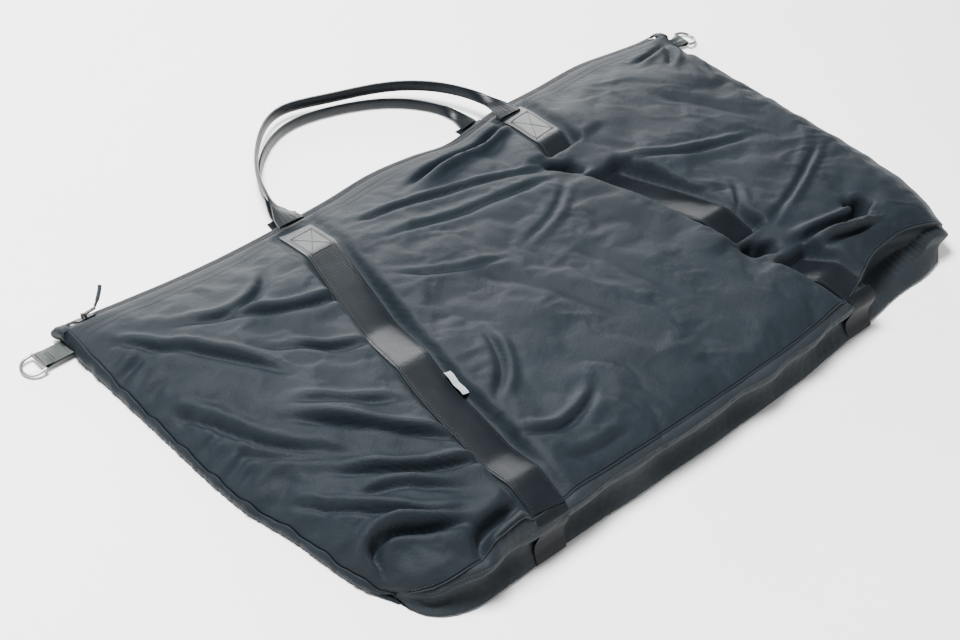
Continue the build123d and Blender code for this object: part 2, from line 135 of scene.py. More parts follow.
# Pits where the cloth tucks in beside the right strap: x, y, length, width, turn in degrees, depth.
PITS = [
    (0.158, 0.122, 0.022, 0.010, -38.0, 0.042),
    (0.240, -0.150, 0.023, 0.012, -28.0, 0.052),
    (0.420, -0.196, 0.018, 0.016, 25.0, 0.052),
]

# Each front strap lies in flat facets: y and height at each bend, from the zip to the base.
FACETS = {
    -1: mm((272, 35.5), (200, 63), (120, 61.5), (45, 59), (-30, 76), (-62, 73.5), (-195, 66), (-242, 77.5),
           (-286, 63.5)),
    1: mm((272, 35.5), (185, 61), (155, 50), (124, 36), (90, 50), (40, 58), (-70, 79), (-118, 62),
          (-152, 32), (-195, 54), (-245, 71), (-286, 60)),
}
BOW_Y = mm(-330, -286, -240, -170, -80, 0, 80, 130, 200, 255, 340)
BOW = {
    -1: mm(0, 3, 8, 13, 20, 17, 11, 8, 3, 0, 0),
    1: mm(0, -1, -6, -17, -24, -28, -40, -44, -24, -3, 0),
}

# Gusset, as (y, z where full, z at the left and right end seams), and the back panel's rim, as (y, z).
GUSSET = mm(
    (-296.5, 56.5, 10, 32.5), (-298.5, 49, 9, 29), (-294, 40.5, 7.8, 24.5), (-289, 31.5, 6.5, 19),
    (-290, 22.5, 5.5, 14), (-296.5, 14, 4, 9.2), (-303, 7, 2.5, 5), (-305, 2.5, 1.2, 2.1), (-300, 0.4, 0.4, 0.4),
)
CORNER_IN = 0.036             # how far the right end's foot is tucked under at the base
RIM = mm((296.5, 0.3), (302.5, 2.5), (304.5, 6.5), (304.5, 11.5), (303, 15))


# ---- numbers along a line ----
def smooth(xs, ys, q):
    """A smooth curve through the points (xs, ys), read at q."""
    xs, ys, q = np.asarray(xs, float), np.asarray(ys, float), np.asarray(q, float)
    if xs[0] > xs[-1]:
        xs, ys = xs[::-1], ys[::-1]
    slope = np.gradient(ys, xs)
    q = np.clip(q, xs[0], xs[-1])
    k = np.clip(np.searchsorted(xs, q) - 1, 0, len(xs) - 2)
    h = xs[k + 1] - xs[k]
    t = (q - xs[k]) / h
    return (
        ys[k] * (1 + 2 * t) * (1 - t) ** 2
        + ys[k + 1] * t * t * (3 - 2 * t)
        + h * slope[k] * t * (1 - t) ** 2
        + h * slope[k + 1] * t * t * (t - 1)
    )


def curve(path, count):
    """The columns of a smooth curve through the rows of path, read at count even steps."""
    t = np.linspace(0, len(path) - 1, count)
    return [smooth(range(len(path)), column, t) for column in zip(*path)]


def step(a, b, q):
    """0 before a, 1 after b, smooth between."""
    t = np.clip((np.asarray(q, float) - a) / (b - a), 0.0, 1.0)
    return t * t * (3 - 2 * t)


def bell(q):
    """1 at 0, falling smoothly to 0 on both sides within about 2."""
    return np.exp(-(q**2))


def fullness(x):
    """1 in the middle of the bag, falling to 0 at the end seams."""
    left = np.clip((-x - FLAT_LEFT) / (HALF - FLAT_LEFT), 0.0, 1.0)
    right = np.clip((x - FLAT_RIGHT) / (HALF - FLAT_RIGHT), 0.0, 1.0)
    return np.clip(1 - np.maximum(left, right) ** 2.6, 0.0, 1.0) ** 0.9


def bumps(x, y, scale, seed):
    """Smooth seeded ups and downs, about +-1, with a wavelength of about scale."""
    rng = np.random.default_rng(seed)
    total = np.zeros(np.broadcast(x, y).shape)
    count = 9
    for _ in range(count):
        angle = rng.uniform(0, math.pi)
        k = 2 * math.pi / (scale * rng.uniform(0.7, 1.5))
        total += np.sin(k * (x * math.cos(angle) + y * math.sin(angle)) + rng.uniform(0, 6.28))
    return total / math.sqrt(count)


def from_line(x, y, points):
    """Signed distance to a curve through points, and how far along it (0 to 1) the nearest place is."""
    pts = np.asarray(points, float)
    t = np.linspace(0, 1, len(pts))
    fine = np.linspace(0, 1, 25)
    cx, cy = smooth(t, pts[:, 0], fine), smooth(t, pts[:, 1], fine)
    best = np.full(x.shape, 9.0)
    along = np.zeros(x.shape)
    side = np.ones(x.shape)
    for k in range(len(fine) - 1):
        ax, ay, dx, dy = cx[k], cy[k], cx[k + 1] - cx[k], cy[k + 1] - cy[k]
        s = np.clip(((x - ax) * dx + (y - ay) * dy) / (dx * dx + dy * dy), 0, 1)
        d = np.hypot(x - ax - s * dx, y - ay - s * dy)
        near = d < best
        best = np.where(near, d, best)
        along = np.where(near, fine[k] + s * (fine[k + 1] - fine[k]), along)
        side = np.where(near, np.sign(dx * (y - ay) - dy * (x - ax)), side)
    return best * side, along


# ---- the bag's surface ----
STRAP_TOP = Vector((0.195, 0.330))
STRAP_BASE = Vector((0.305, -0.320))


def strap_centre(side, y):
    """x of a strap's centre line at y."""
    share = (STRAP_TOP.y - y) / (STRAP_TOP.y - STRAP_BASE.y)
    return side * (STRAP_TOP.x + (STRAP_BASE.x - STRAP_TOP.x) * share + smooth(BOW_Y, BOW[side], y))


def strap_height(side, y):
    """Height of a front strap: flat facets with short rounded bends."""
    ys, zs = FACETS[side][::-1].T
    blur = np.linspace(-0.006, 0.006, 7)
    return np.mean([np.interp(np.asarray(y, float) + b, ys, zs) for b in blur], axis=0)


def showing(side, y):
    """1 where a front strap lies on the cloth, 0 where the cloth folds over it."""
    if side < 0:
        return np.ones(np.shape(y))
    return np.clip(step(0.150, 0.162, y) + step(0.098, 0.082, y) * step(-0.130, -0.114, y)
                   + step(-0.182, -0.196, y), 0, 1)


def cloth_height(x, y):
    """Height of the front panel over the plan, with its creases, pits and tucks beside the straps."""
    f = fullness(x)
    end = np.where(x < 0, smooth(FRONT_Y, LEFT_Z, y), smooth(FRONT_Y, RIGHT_Z, y))
    z = smooth(FRONT_Y, FRONT_Z, y) * f + end * (1 - f)
    middle = step(0.0, 0.06, HALF - np.abs(x)) * step(-0.286, -0.24, y) * step(0.285, 0.235, y)
    lumps = 0.0018 * bumps(x, y, 0.17, 3) + 0.0007 * bumps(x, y, 0.07, 5) + 0.00015 * bumps(x, y, 0.028, 8)
    z = z + middle * lumps
    left = step(-0.20, -0.33, x) * middle
    z = z + left * 0.0014 * bumps(x * 0.8, y * 0.8, 0.045, 11)
    ridge = np.abs(bumps(x * 0.6 + y * 0.5, y, 0.075, 17))
    z = z + middle * 0.0007 * bell(ridge / 0.20) * step(-0.3, 0.6, bumps(x, y, 0.16, 19))
    for depth, width, points in CREASES:
        d, along = from_line(x, y, points)
        depth = depth * CREASE
        fade = step(0.0, 0.30, along) * step(1.0, 0.70, along) * 0.92 + 0.08
        valley = bell(d / width)
        fold = bell((d - 2.0 * width) / (1.6 * width)) * 0.75
        back = bell((d + 2.6 * width) / (2.4 * width)) * 0.30
        z = z + fade * depth * (fold + back - valley) * step(0.0, 0.03, HALF - np.abs(x))
    for px, py, long, wide, turn, depth in PITS:
        c, s = math.cos(math.radians(turn)), math.sin(math.radians(turn))
        u, v = (x - px) * c + (y - py) * s, -(x - px) * s + (y - py) * c
        angle = np.arctan2(v, u)
        r = np.sqrt((u / long) ** 2 + (v / wide) ** 2)
        ripple = 1 + 0.13 * np.cos(3 * angle + px * 40) + 0.07 * np.cos(5 * angle + 1)
        rays = bell((r - 2.4) / 1.1) * np.cos(5 * angle + px * 70) * 0.0012
        z = z - depth * np.exp(-((r * ripple) ** 3.2)) - 0.10 * depth * bell(r / 3.0) + rays
    for side in (-1, 1):
        d = np.abs(x - strap_centre(side, y)) * 0.985
        under = strap_height(side, y) - 0.0022
        seen = showing(side, y)
        over = step(0.029, 0.046, d) * step(0.095, 0.055, d) * 0.0045
        hold = step(0.038, 0.0268, d) * step(-0.30, -0.27, y) * seen
        cover = bell(d / 0.016) * (1 - seen) * step(-0.24, -0.22, y) * step(0.2, 0.16, y) * 0.004
        z = (z + over * seen - cover) * (1 - hold) + under * hold
        z = np.where((d < 0.03) & (seen < 0.5), np.maximum(z, np.where(y > -0.28, under + 0.0045, z)), z)
    return np.maximum(z, 0.004)


def overhang(x):
    """How far the gusset shows beyond the front panel's edge, towards the right."""
    return 0.026 * step(0.26, 0.40, x) * (1 - 0.75 * step(0.43, 0.535, x))


def plan_warp(x, y):
    """The base and the mouth aren't quite straight in plan."""
    base = smooth(DRAW_X, DRAW_IN, x) * step(0.02, -0.27, y)
    base = base + overhang(x) * step(-0.19, -0.286, y) * (np.asarray(y) > -0.2865)
    mouth = smooth(MOUTH_X, MOUTH_IN, x) * step(0.10, 0.27, y)
    return y + base - mouth


def seam_warp(x, y):
    """The left end seam bends inwards towards the base."""
    share = np.clip((-x - FLAT_LEFT) / (HALF - FLAT_LEFT), 0.0, 1.0)
    return x + smooth(SEAM_Y, SEAM_IN, y) * share**1.4


def section_rows():
    """Rows of the closed section: kind, y and, but for the front panel, three heights."""
    rows = []
    zip_front = Vector((0, ZIP_Y, ZIP_Z)) - ACROSS * 0.0055
    rows.append(("hem", zip_front.y, *[zip_front.z] * 3))
    rows.append(("hem", 0.2830, *[0.0291] * 3))
    for y in np.linspace(HEM_Y, BASE_Y, 158):
        rows.append(("front", float(y), 0.0, 0.0, 0.0))
    for row in zip(*curve(GUSSET, 30)):
        rows.append(("gusset", *map(float, row)))
    for y in np.linspace(-0.284, 0.284, FLOOR_ROWS):
        rows.append(("floor", float(y), *[0.0003] * 3))
    for y, z in RIM:
        rows.append(("rim", float(y), z, z, z))
    zip_back = Vector((0, ZIP_Y, ZIP_Z)) + ACROSS * 0.0055
    rows.append(("rim", zip_back.y, *[zip_back.z] * 3))
    return rows


def bag_grid():
    """The whole shell as a grid of points: stations along x, rows round the section."""
    ends = [0.5345, 0.5372, END_X]
    xs = np.array([-e for e in reversed(ends)] + list(np.linspace(-0.531, 0.531, 300)) + ends)
    rows = section_rows()
    flat_x = np.repeat(xs[:, None], len(rows), axis=1)
    kinds = [r[0] for r in rows]
    grid = np.zeros((len(xs), len(rows), 3))
    f = fullness(xs)
    front = [k for k, kind in enumerate(kinds) if kind == "front"]
    row_y = np.array([rows[k][1] for k in front])
    plan_x, plan_y = np.meshgrid(xs, row_y, indexing="ij")
    front_z = cloth_height(plan_x, plan_y)
    for k, (kind, y, full, left, right) in enumerate(rows):
        yy = np.full(xs.shape, y)
        z = full * f + np.where(xs < 0, left, right) * (1 - f)
        if kind == "front":
            z = front_z[:, k - front[0]]
        if kind == "gusset":
            sag = 0.0028 * bumps(xs, np.full(xs.shape, full), 0.10, 21) * f * min(1.0, full / 0.02)
            tuck = np.where(xs < 0, 0.012, 0.004) * (full / 0.05)
            puff = 0.009 * step(0.40, 0.53, xs) * math.sin(math.pi * min(1.0, full / 0.0565))
            yy = yy + (1 - f) * tuck + sag - puff + overhang(xs) * min(1.0, full / 0.055) ** 1.3
        grid[:, k, 0] = seam_warp(xs, yy)
        if kind in ("gusset", "floor"):
            foot = np.clip(1 - z / 0.031, 0, 1)
            grid[:, k, 0] -= CORNER_IN * step(0.43, 0.54, xs) * step(-0.10, -0.27, yy) * foot
        grid[:, k, 1] = plan_warp(xs, yy)
        grid[:, k, 2] = z
    along, raised = grid[:, :, 1], grid[:, :, 2] > 0.008
    lumps = 0.0022 * np.sin(along * 2 * math.pi / 0.052 + 1.0) + 0.0012 * np.sin(along * 230)
    near = step(0.46, 0.53, np.abs(flat_x)) * step(0.27, 0.20, along)
    near = near * np.where(grid[:, :, 0] > 0, 0.35, 1.0)
    grid[:, :, 2] += np.where(raised, near * lumps, 0.0)
    pucker = np.sin(along * 2 * math.pi / 0.024 + 1.3 * np.sin(along * 31))
    pucker = pucker * step(0.235, 0.19, along) * step(-0.22, -0.15, along)
    seam = bell((flat_x + 0.518) / 0.012)
    grid[:, :, 2] += np.where(grid[:, :, 2] > 0.008, 0.0026 * seam * pucker, 0.0)
    return xs, rows, grid


def relax(xs, rows, grid):
    """Cloth simulation on a coarser shell: slightly too much cloth, held at straps, hems, folds and floor."""
    take_i = np.unique(np.r_[np.arange(0, len(xs), 2), len(xs) - 1])
    take_k = np.unique(np.r_[np.arange(0, len(rows), 2), len(rows) - 1])
    coarse = grid[np.ix_(take_i, take_k)]
    cx = xs[take_i]
    nx, nk, _ = coarse.shape
    obj = new_object("cloth_start", coarse.reshape(-1, 3), grid_faces(nx, nk))
    hold = np.zeros((nx, nk))
    for n, k in enumerate(take_k):
        kind, row_y = rows[k][0], rows[k][1]
        if kind in ("hem", "rim", "floor"):
            hold[:, n] = 1.0
        elif kind == "front":
            row = np.full(cx.shape, row_y)
            held = np.full(cx.shape, np.maximum(0.12, step(0.245, 0.262, row_y)))
            for side in (-1, 1):
                d = np.abs(cx - strap_centre(side, row_y))
                held = np.maximum(held, step(0.034, 0.028, d))
            for depth, width, points in CREASES:
                d, along = from_line(cx, row, points)
                held = np.maximum(held, 0.85 * bell(d / width / 2.4))
            for px, py, long, wide, _, _ in PITS:
                r = np.hypot((cx - px) / long, (row_y - py) / wide)
                held = np.maximum(held, 0.6 * bell(r / 1.3))
            hold[:, n] = held
        else:
            hold[:, n] = 0.60
    hold = np.maximum(hold, step(0.526, 0.534, np.abs(cx))[:, None])
    group = obj.vertex_groups.new(name="hold")
    level_of = np.round(hold.reshape(-1), 2)
    for level in np.unique(level_of):
        if level > 0:
            group.add([int(v) for v in np.nonzero(level_of == level)[0]], float(level), "REPLACE")
    cloth = obj.modifiers.new("cloth", "CLOTH")
    s = cloth.settings
    s.quality = 5
    s.mass = 0.3
    s.tension_stiffness = 25
    s.compression_stiffness = 25
    s.shear_stiffness = 12
    s.bending_stiffness = 0.15
    s.air_damping = 2.0
    s.vertex_group_mass = "hold"
    s.pin_stiffness = 1.2
    s.shrink_min = -0.008
    s.use_pressure = True
    s.uniform_pressure_force = 1.0
    s.effector_weights.gravity = 0.0
    cloth.collision_settings.use_collision = False
    cloth.point_cache.frame_start, cloth.point_cache.frame_end = 1, LAST_FRAME
    scene = bpy.context.scene
    for f in range(1, LAST_FRAME + 1):
        scene.frame_set(f)
    done = obj.evaluated_get(bpy.context.evaluated_depsgraph_get())
    flat_co = np.zeros(nx * nk * 3)
    done.data.vertices.foreach_get("co", flat_co)
    moved = flat_co.reshape(nx, nk, 3) - coarse
    scene.frame_set(1)
    bpy.data.objects.remove(obj)
    size = np.linalg.norm(moved, axis=2, keepdims=True)
    moved = moved * np.minimum(1.0, MOST_MOVED / np.maximum(size, 1e-9))
    full = np.zeros(grid.shape)
    for c in range(3):
        rows_done = np.array([np.interp(np.arange(len(rows)), take_k, moved[i, :, c]) for i in range(nx)])
        for k in range(len(rows)):
            full[:, k, c] = np.interp(np.arange(len(xs)), take_i, rows_done[:, k])
    out = grid + full
    out[:, :, 2] = np.maximum(out[:, :, 2], 0.0002)
    return out


# ---- meshes ----
def new_object(name, verts, faces, uvs=None):
    """A smooth-shaded mesh object from points and faces, with a UV for each point if given."""
    mesh = bpy.data.meshes.new(name)
    mesh.from_pydata([tuple(map(float, v)) for v in verts], [], faces)
    if uvs is not None:
        layer = mesh.uv_layers.new(name="UVMap")
        for loop in mesh.loops:
            layer.data[loop.index].uv = uvs[loop.vertex_index]
    mesh.polygons.foreach_set("use_smooth", [True] * len(mesh.polygons))
    mesh.validate()
    mesh.update()
    obj = bpy.data.objects.new(name, mesh)
    bpy.context.scene.collection.objects.link(obj)
    return obj


def sheet(rows, cols, point):
    """A grid of points from point(row, column)."""
    return np.array([[tuple(point(i, j)) for j in range(cols)] for i in range(rows)], float)


def grid_faces(n, m):
    """Quads over an n by m grid of points."""
    return [(i * m + j, i * m + j + 1, (i + 1) * m + j + 1, (i + 1) * m + j)
            for i in range(n - 1) for j in range(m - 1)]


def grid_uvs(grid):
    """UVs in metres: the mean length of the grid's steps along each axis, added up."""
    u, v = (np.concatenate([[0], np.cumsum(np.linalg.norm(np.diff(grid, axis=a), axis=2).mean(axis=1 - a))])
            for a in (0, 1))
    return [(float(a), float(b)) for a in u for b in v]


def grid_normals(grid):
    """Unit normals of a grid of points."""
    normal = np.cross(np.gradient(grid, axis=0), np.gradient(grid, axis=1))
    return normal / np.maximum(np.linalg.norm(normal, axis=2, keepdims=True), 1e-12)


def ring_faces(first, second, sides):
    """Quads between two rings of points, from the index of each ring's first point."""
    return [(first + a, first + (a + 1) % sides, second + (a + 1) % sides, second + a) for a in range(sides)]


def grid_object(name, grid, thickness):
    """A sheet from a grid of points, with a solidify as its thickness."""
    obj = new_object(name, grid.reshape(-1, 3), grid_faces(*grid.shape[:2]), grid_uvs(grid))
    solid = obj.modifiers.new("thickness", "SOLIDIFY")
    solid.thickness = thickness
    solid.offset = -1.0
    solid.use_even_offset = False
    return obj


def slab(name, grid, thickness, crown=0.0):
    """A closed slab from a grid of centre points: top and bottom faces and a rounded rim."""
    n, m = grid.shape[:2]
    across = np.linspace(-1, 1, m)
    half = thickness / 2 * (1 - 0.35 * np.abs(across) ** 6) + crown * (1 - across**2)
    away = grid_normals(grid) * half[None, :, None]
    verts = np.concatenate([(grid + away).reshape(-1, 3), (grid - away).reshape(-1, 3)])
    base = n * m
    faces = []
    for a, b, c, d in grid_faces(n, m):
        faces += [(a, d, c, b), (base + a, base + b, base + c, base + d)]
    for i in range(n - 1):
        for j in (0, m - 1):
            a, b = i * m + j, (i + 1) * m + j
            quad = (a, base + a, base + b, b)
            faces.append(quad if j == 0 else quad[::-1])
    for j in range(m - 1):
        for i in (0, n - 1):
            a, b = i * m + j, i * m + j + 1
            quad = (a, b, base + b, base + a)
            faces.append(quad if i == 0 else quad[::-1])
    obj = new_object(name, verts, faces, grid_uvs(grid) * 2)
    obj.data.set_sharp_from_angle(angle=RIM_ANGLE)
    return obj


def dashes(name, runs, length=0.0028, gap=0.0014, radius=0.00035):
    """Stitches: short rounded bars along each run of (point, normal)."""
    sides = 5
    verts, faces = [], []
    for run in runs:
        points = [Vector(p) for p, _ in run]
        far = [0.0]
        for a, b in zip(points, points[1:]):
            far.append(far[-1] + (b - a).length)
        place = np.array([tuple(p) for p in points])
        normals = np.array([tuple(Vector(n).normalized()) for _, n in run])

        def read(table, q):
            return Vector([float(np.interp(q, far, table[:, c])) for c in range(3)])

        at = gap
        while at + length < far[-1]:
            ends = [(read(place, q), read(normals, q).normalized()) for q in (at, at + length / 2, at + length)]
            along = (ends[2][0] - ends[0][0]).normalized()
            base = len(verts)
            for (p, n), lift, wide in zip(ends, (0.1, 1.0, 0.1), (0.45, 1.0, 0.45)):
                side = along.cross(n).normalized()
                for a in range(sides):
                    angle = a / sides * 2 * math.pi
                    around = side * math.cos(angle) + n * math.sin(angle)
                    verts.append(p + n * radius * lift + around * radius * wide)
            for ring in (base, base + sides):
                faces += ring_faces(ring, ring + sides, sides)
            faces.append(tuple(range(base + sides - 1, base - 1, -1)))
            faces.append(tuple(range(base + 2 * sides, base + 3 * sides)))
            at += length + gap
    return new_object(name, verts, faces)


def tube(name, points, radius, sides=8):
    """A round tube through points."""
    pts = [Vector(p) for p in points]
    n = len(pts)
    verts, faces = [], []
    side = (pts[1] - pts[0]).normalized().orthogonal().normalized()
    for k, p in enumerate(pts):
        along = (pts[min(k + 1, n - 1)] - pts[max(k - 1, 0)]).normalized()
        side = (side - along * side.dot(along)).normalized()
        up = along.cross(side)
        for a in range(sides):
            angle = a / sides * 2 * math.pi
            verts.append(p + (side * math.cos(angle) + up * math.sin(angle)) * radius)
    for k in range(n - 1):
        faces += ring_faces(k * sides, (k + 1) * sides, sides)
    faces.append(tuple(range(sides - 1, -1, -1)))
    faces.append(tuple(range((n - 1) * sides, n * sides)))
    return new_object(name, verts, faces)


# ---- materials ----
WAVE = 2 * math.pi / 20       # a wave texture's scale times its period


class Shader:
    """A new material with one principled shader, and what adds nodes to it."""

    def __init__(self, name, color, rough, specular=0.5, metal=0.0):
        self.mat = bpy.data.materials.new(name)
        self.mat.use_nodes = True
        self.bsdf = self.mat.node_tree.nodes["Principled BSDF"]
        self.set(self.bsdf, {"Base Color": (*color, 1), "Roughness": rough, "Specular IOR Level": specular,
                             "Metallic": metal})
        coordinates = self.add("TexCoord", {})
        self.place, self.uv = coordinates.outputs["Object"], coordinates.outputs["UV"]

    def set(self, node, values):
        """Gives inputs of a node a value each, or a link from another node."""
        for key, value in values.items():
            if isinstance(value, bpy.types.NodeSocket):
                self.mat.node_tree.links.new(value, node.inputs[key])
            else:
                node.inputs[key].default_value = value

    def add(self, kind, values, **settings):
        """A new node with its settings and inputs."""
        node = self.mat.node_tree.nodes.new("ShaderNode" + kind)
        for key, value in settings.items():
            setattr(node, key, value)
        self.set(node, values)
        return node

    def noise(self, scale, detail=4.0, rough=0.55):
        """Noise over the object."""
        values = {"Scale": scale, "Detail": detail, "Roughness": rough, "Vector": self.place}
        return self.add("TexNoise", values).outputs["Fac"]

    def wave(self, vector, scale, direction, distortion=0.0):
        """Straight bands over vector."""
        values = {"Scale": scale, "Distortion": distortion, "Detail": 2.0, "Vector": vector}
        return self.add("TexWave", values, wave_type="BANDS", bands_direction=direction).outputs["Fac"]

    def color(self, source, low, high):
        """Base colour from low to high, driven by source."""
        node = self.add("ValToRGB", {"Fac": source})
        for element, position, color in zip(node.color_ramp.elements, (0.3, 0.7), (low, high)):
            element.position, element.color = position, (*color, 1)
        self.set(self.bsdf, {"Base Color": node.outputs["Color"]})

    def roughness(self, source, spread, least):
        """Roughness from least to least + spread, driven by source."""
        node = self.add("Math", {0: source, 1: spread, 2: least}, operation="MULTIPLY_ADD")
        self.set(self.bsdf, {"Roughness": node.outputs[0]})

    def sheen(self, weight, rough):
        """A soft sheen, as on cloth."""
        self.set(self.bsdf, {"Sheen Weight": weight, "Sheen Roughness": rough})

    def bump(self, *heights):
        """A chain of bumps on the shader: (height, distance, strength) each. Returns the finished material."""
        last = {}
        for height, distance, strength in heights:
            node = self.add("Bump", {"Distance": distance, "Strength": strength, "Height": height, **last})
            last = {"Normal": node.outputs["Normal"]}
        self.set(self.bsdf, last)
        return self.mat


def cloth_material(name, low, high, rough=0.62, sheen=0.35, weave=0.0011, crinkle=1.0):
    """Plain-weave coated nylon: crossed threads, dimples, fine crinkles, soft colour changes and a sheen."""
    s = Shader(name, high, rough, 0.11)
    s.color(s.noise(9.0, 8.0, 0.68), low, high)
    s.roughness(s.noise(420.0, 2.0), 0.16, rough - 0.08)
    s.sheen(sheen, 0.35)
    s.set(s.bsdf, {"Sheen Tint": (0.80, 0.80, 0.84, 1)})
    warp, weft = (s.wave(s.uv, WAVE / weave, direction, 0.4) for direction in "XY")
    threads = s.add("Math", {0: warp, 1: weft}, operation="MAXIMUM").outputs[0]
    return s.bump((s.noise(18.0, 4.0, 0.55), 0.0045 * crinkle, 0.30),
                  (s.noise(75.0, 6.0, 0.65), 0.0011 * crinkle, 0.5),
                  (s.noise(260.0, 3.0, 0.6), 0.0009, 0.6), (threads, 0.00022, 0.5))


def webbing_material(name, low, high, rough, ribs, specular=0.34):
    """Nylon webbing: ribs across its width, finer ones along it, shallow dents and a satin sheen."""
    s = Shader(name, high, rough, specular)
    s.color(s.noise(22.0, 5.0), low, high)
    fine = s.noise(300.0, 2.0)
    s.roughness(fine, 0.14, rough - 0.07)
    s.sheen(0.02, 0.4)
    return s.bump((s.noise(60.0, 4.0, 0.6), 0.0012, 0.3), (s.wave(s.uv, WAVE / ribs, "X"), 0.00016, 0.5),
                  (s.wave(s.uv, WAVE / ribs * 0.7, "Y"), 0.00020, 0.5), (fine, 0.0002, 0.4))


def thread_material(name, color):
    """Bonded thread: satin, with a fine twist."""
    s = Shader(name, color, 0.45)
    s.color(s.noise(60.0, 3.0), tuple(c * 0.7 for c in color), color)
    return s.bump((s.wave(s.place, 900.0, "DIAGONAL", 0.5), 0.0001, 0.5))


def coil_material(name, color):
    """Moulded nylon coil: satin, with a faint mould grain."""
    s = Shader(name, color, 0.38)
    s.color(s.noise(40.0, 4.0), tuple(c * 0.6 for c in color), color)
    return s.bump((s.noise(900.0, 2.0), 0.00005, 0.4))


def metal_material(name, color, rough, wear):
    """Plated wire or a cast slider: rubbed tone, uneven roughness and fine pitting."""
    s = Shader(name, color, rough, 0.5, 1.0)
    s.color(s.noise(90.0, 5.0), wear, color)
    grain = s.noise(700.0, 3.0)
    s.roughness(grain, 0.18, rough - 0.05)
    return s.bump((grain, 0.00006, 0.35))


def floor_material():
    """Pale studio floor, faintly mottled."""
    s = Shader("studio_floor", (0.92, 0.92, 0.92), 0.6, 0.2)
    s.color(s.noise(3.0, 3.0), (0.90, 0.90, 0.90), (0.93, 0.93, 0.93))
    return s.mat


NYLON = cloth_material("navy_nylon_cloth", (0.0056, 0.0086, 0.0116), (0.0088, 0.0128, 0.0166), 0.58, 0.03)
# Painted light: the gusset's nylon is a lighter copy of the panels' nylon, which stands in for the light falling
# on the gusset; the real bag is one fabric throughout.
NYLON_GUSSET_PAINTED_LIGHT = cloth_material("navy_nylon_gusset_painted_light", (0.0095, 0.0128, 0.0158), (0.014, 0.0182, 0.022), 0.58, 0.03)
LINER = cloth_material("black_liner_cloth", (0.006, 0.006, 0.007), (0.012, 0.012, 0.013), 0.8, 0.1)
WEBBING = webbing_material("navy_webbing", (0.0026, 0.0038, 0.0054), (0.0052, 0.0074, 0.0094), 0.34, 0.0021, 0.2)
# The base straps' webbing is rougher than the front straps', and its darker colour is painted shade for the
# shadow under the bag's bulge; the real straps are one webbing.
WEBBING_MATT_PAINTED_SHADE = webbing_material(
    "navy_webbing_base_painted_shade", (0.0018, 0.0026, 0.0036), (0.0036, 0.0050, 0.0066), 0.62, 0.0021, 0.14)
WEBBING_LIGHT = webbing_material("tab_webbing", (0.022, 0.027, 0.026), (0.040, 0.048, 0.045), 0.42, 0.0016)
TAPE = webbing_material("zip_tape_weave", (0.010, 0.011, 0.015), (0.018, 0.020, 0.026), 0.6, 0.0010)
BINDING = webbing_material(
    "grosgrain_binding", (0.0070, 0.0095, 0.0130), (0.0120, 0.0155, 0.0200), 0.60, 0.0012, 0.2)
THREAD = thread_material("bonded_thread", (0.010, 0.012, 0.015))
NICKEL = metal_material("nickel_wire", (0.36, 0.35, 0.33), 0.26, (0.20, 0.19, 0.18))
DARK_METAL = metal_material("blackened_slider", (0.018, 0.019, 0.022), 0.42, (0.060, 0.060, 0.062))
COIL = coil_material("zip_coil_nylon", (0.020, 0.021, 0.026))
LABEL = cloth_material("blank_label_satin", (0.24, 0.26, 0.28), (0.36, 0.38, 0.40), 0.5, 0.1, 0.0006, 0.2)


def place_piece(obj, mat, body, slot, *nodes):
    """Gives a piece its material and body, and hides the CAD nodes it stands for; slot is not used."""
    obj.data.materials.append(mat)
    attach(obj, body)
    if nodes:
        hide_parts(*nodes)
    return obj


def lay(name, grid, thickness, mat, slot, *nodes):
    """A slab on the bag."""
    place_piece(slab(name, grid, thickness), mat, "bag", slot, *nodes)


def panel(name, grid, mat, *nodes):
    """A panel of the bag's cloth."""
    place_piece(grid_object(name, grid, CLOTH_THICK), mat, "bag", "navy_nylon", *nodes)


# ---- shell and liner ----
xs, rows, start = bag_grid()
shell = relax(xs, rows, start)
NORMALS = grid_normals(shell)
if NORMALS[len(xs) // 2, 20, 2] < 0:
    NORMALS = -NORMALS
kinds = [r[0] for r in rows]
last_front = max(k for k, kind in enumerate(kinds) if kind == "front")
last_gusset = max(k for k, kind in enumerate(kinds) if kind == "gusset")

FRONT_NODES = [f"front_panel_{band}_{span}"
               for band in ("lower", "upper", "hem") for span in ("left", "middle", "right")]
panel("front_cloth", shell[:, : last_front + 1], NYLON, *FRONT_NODES)
# The gusset wears the lighter copy of the nylon: painted light.
panel("base_gusset_cloth", shell[:, last_front : last_gusset + 1], NYLON_GUSSET_PAINTED_LIGHT, "base_gusset")
panel("back_cloth", shell[:, last_gusset:], NYLON, "back_panel")


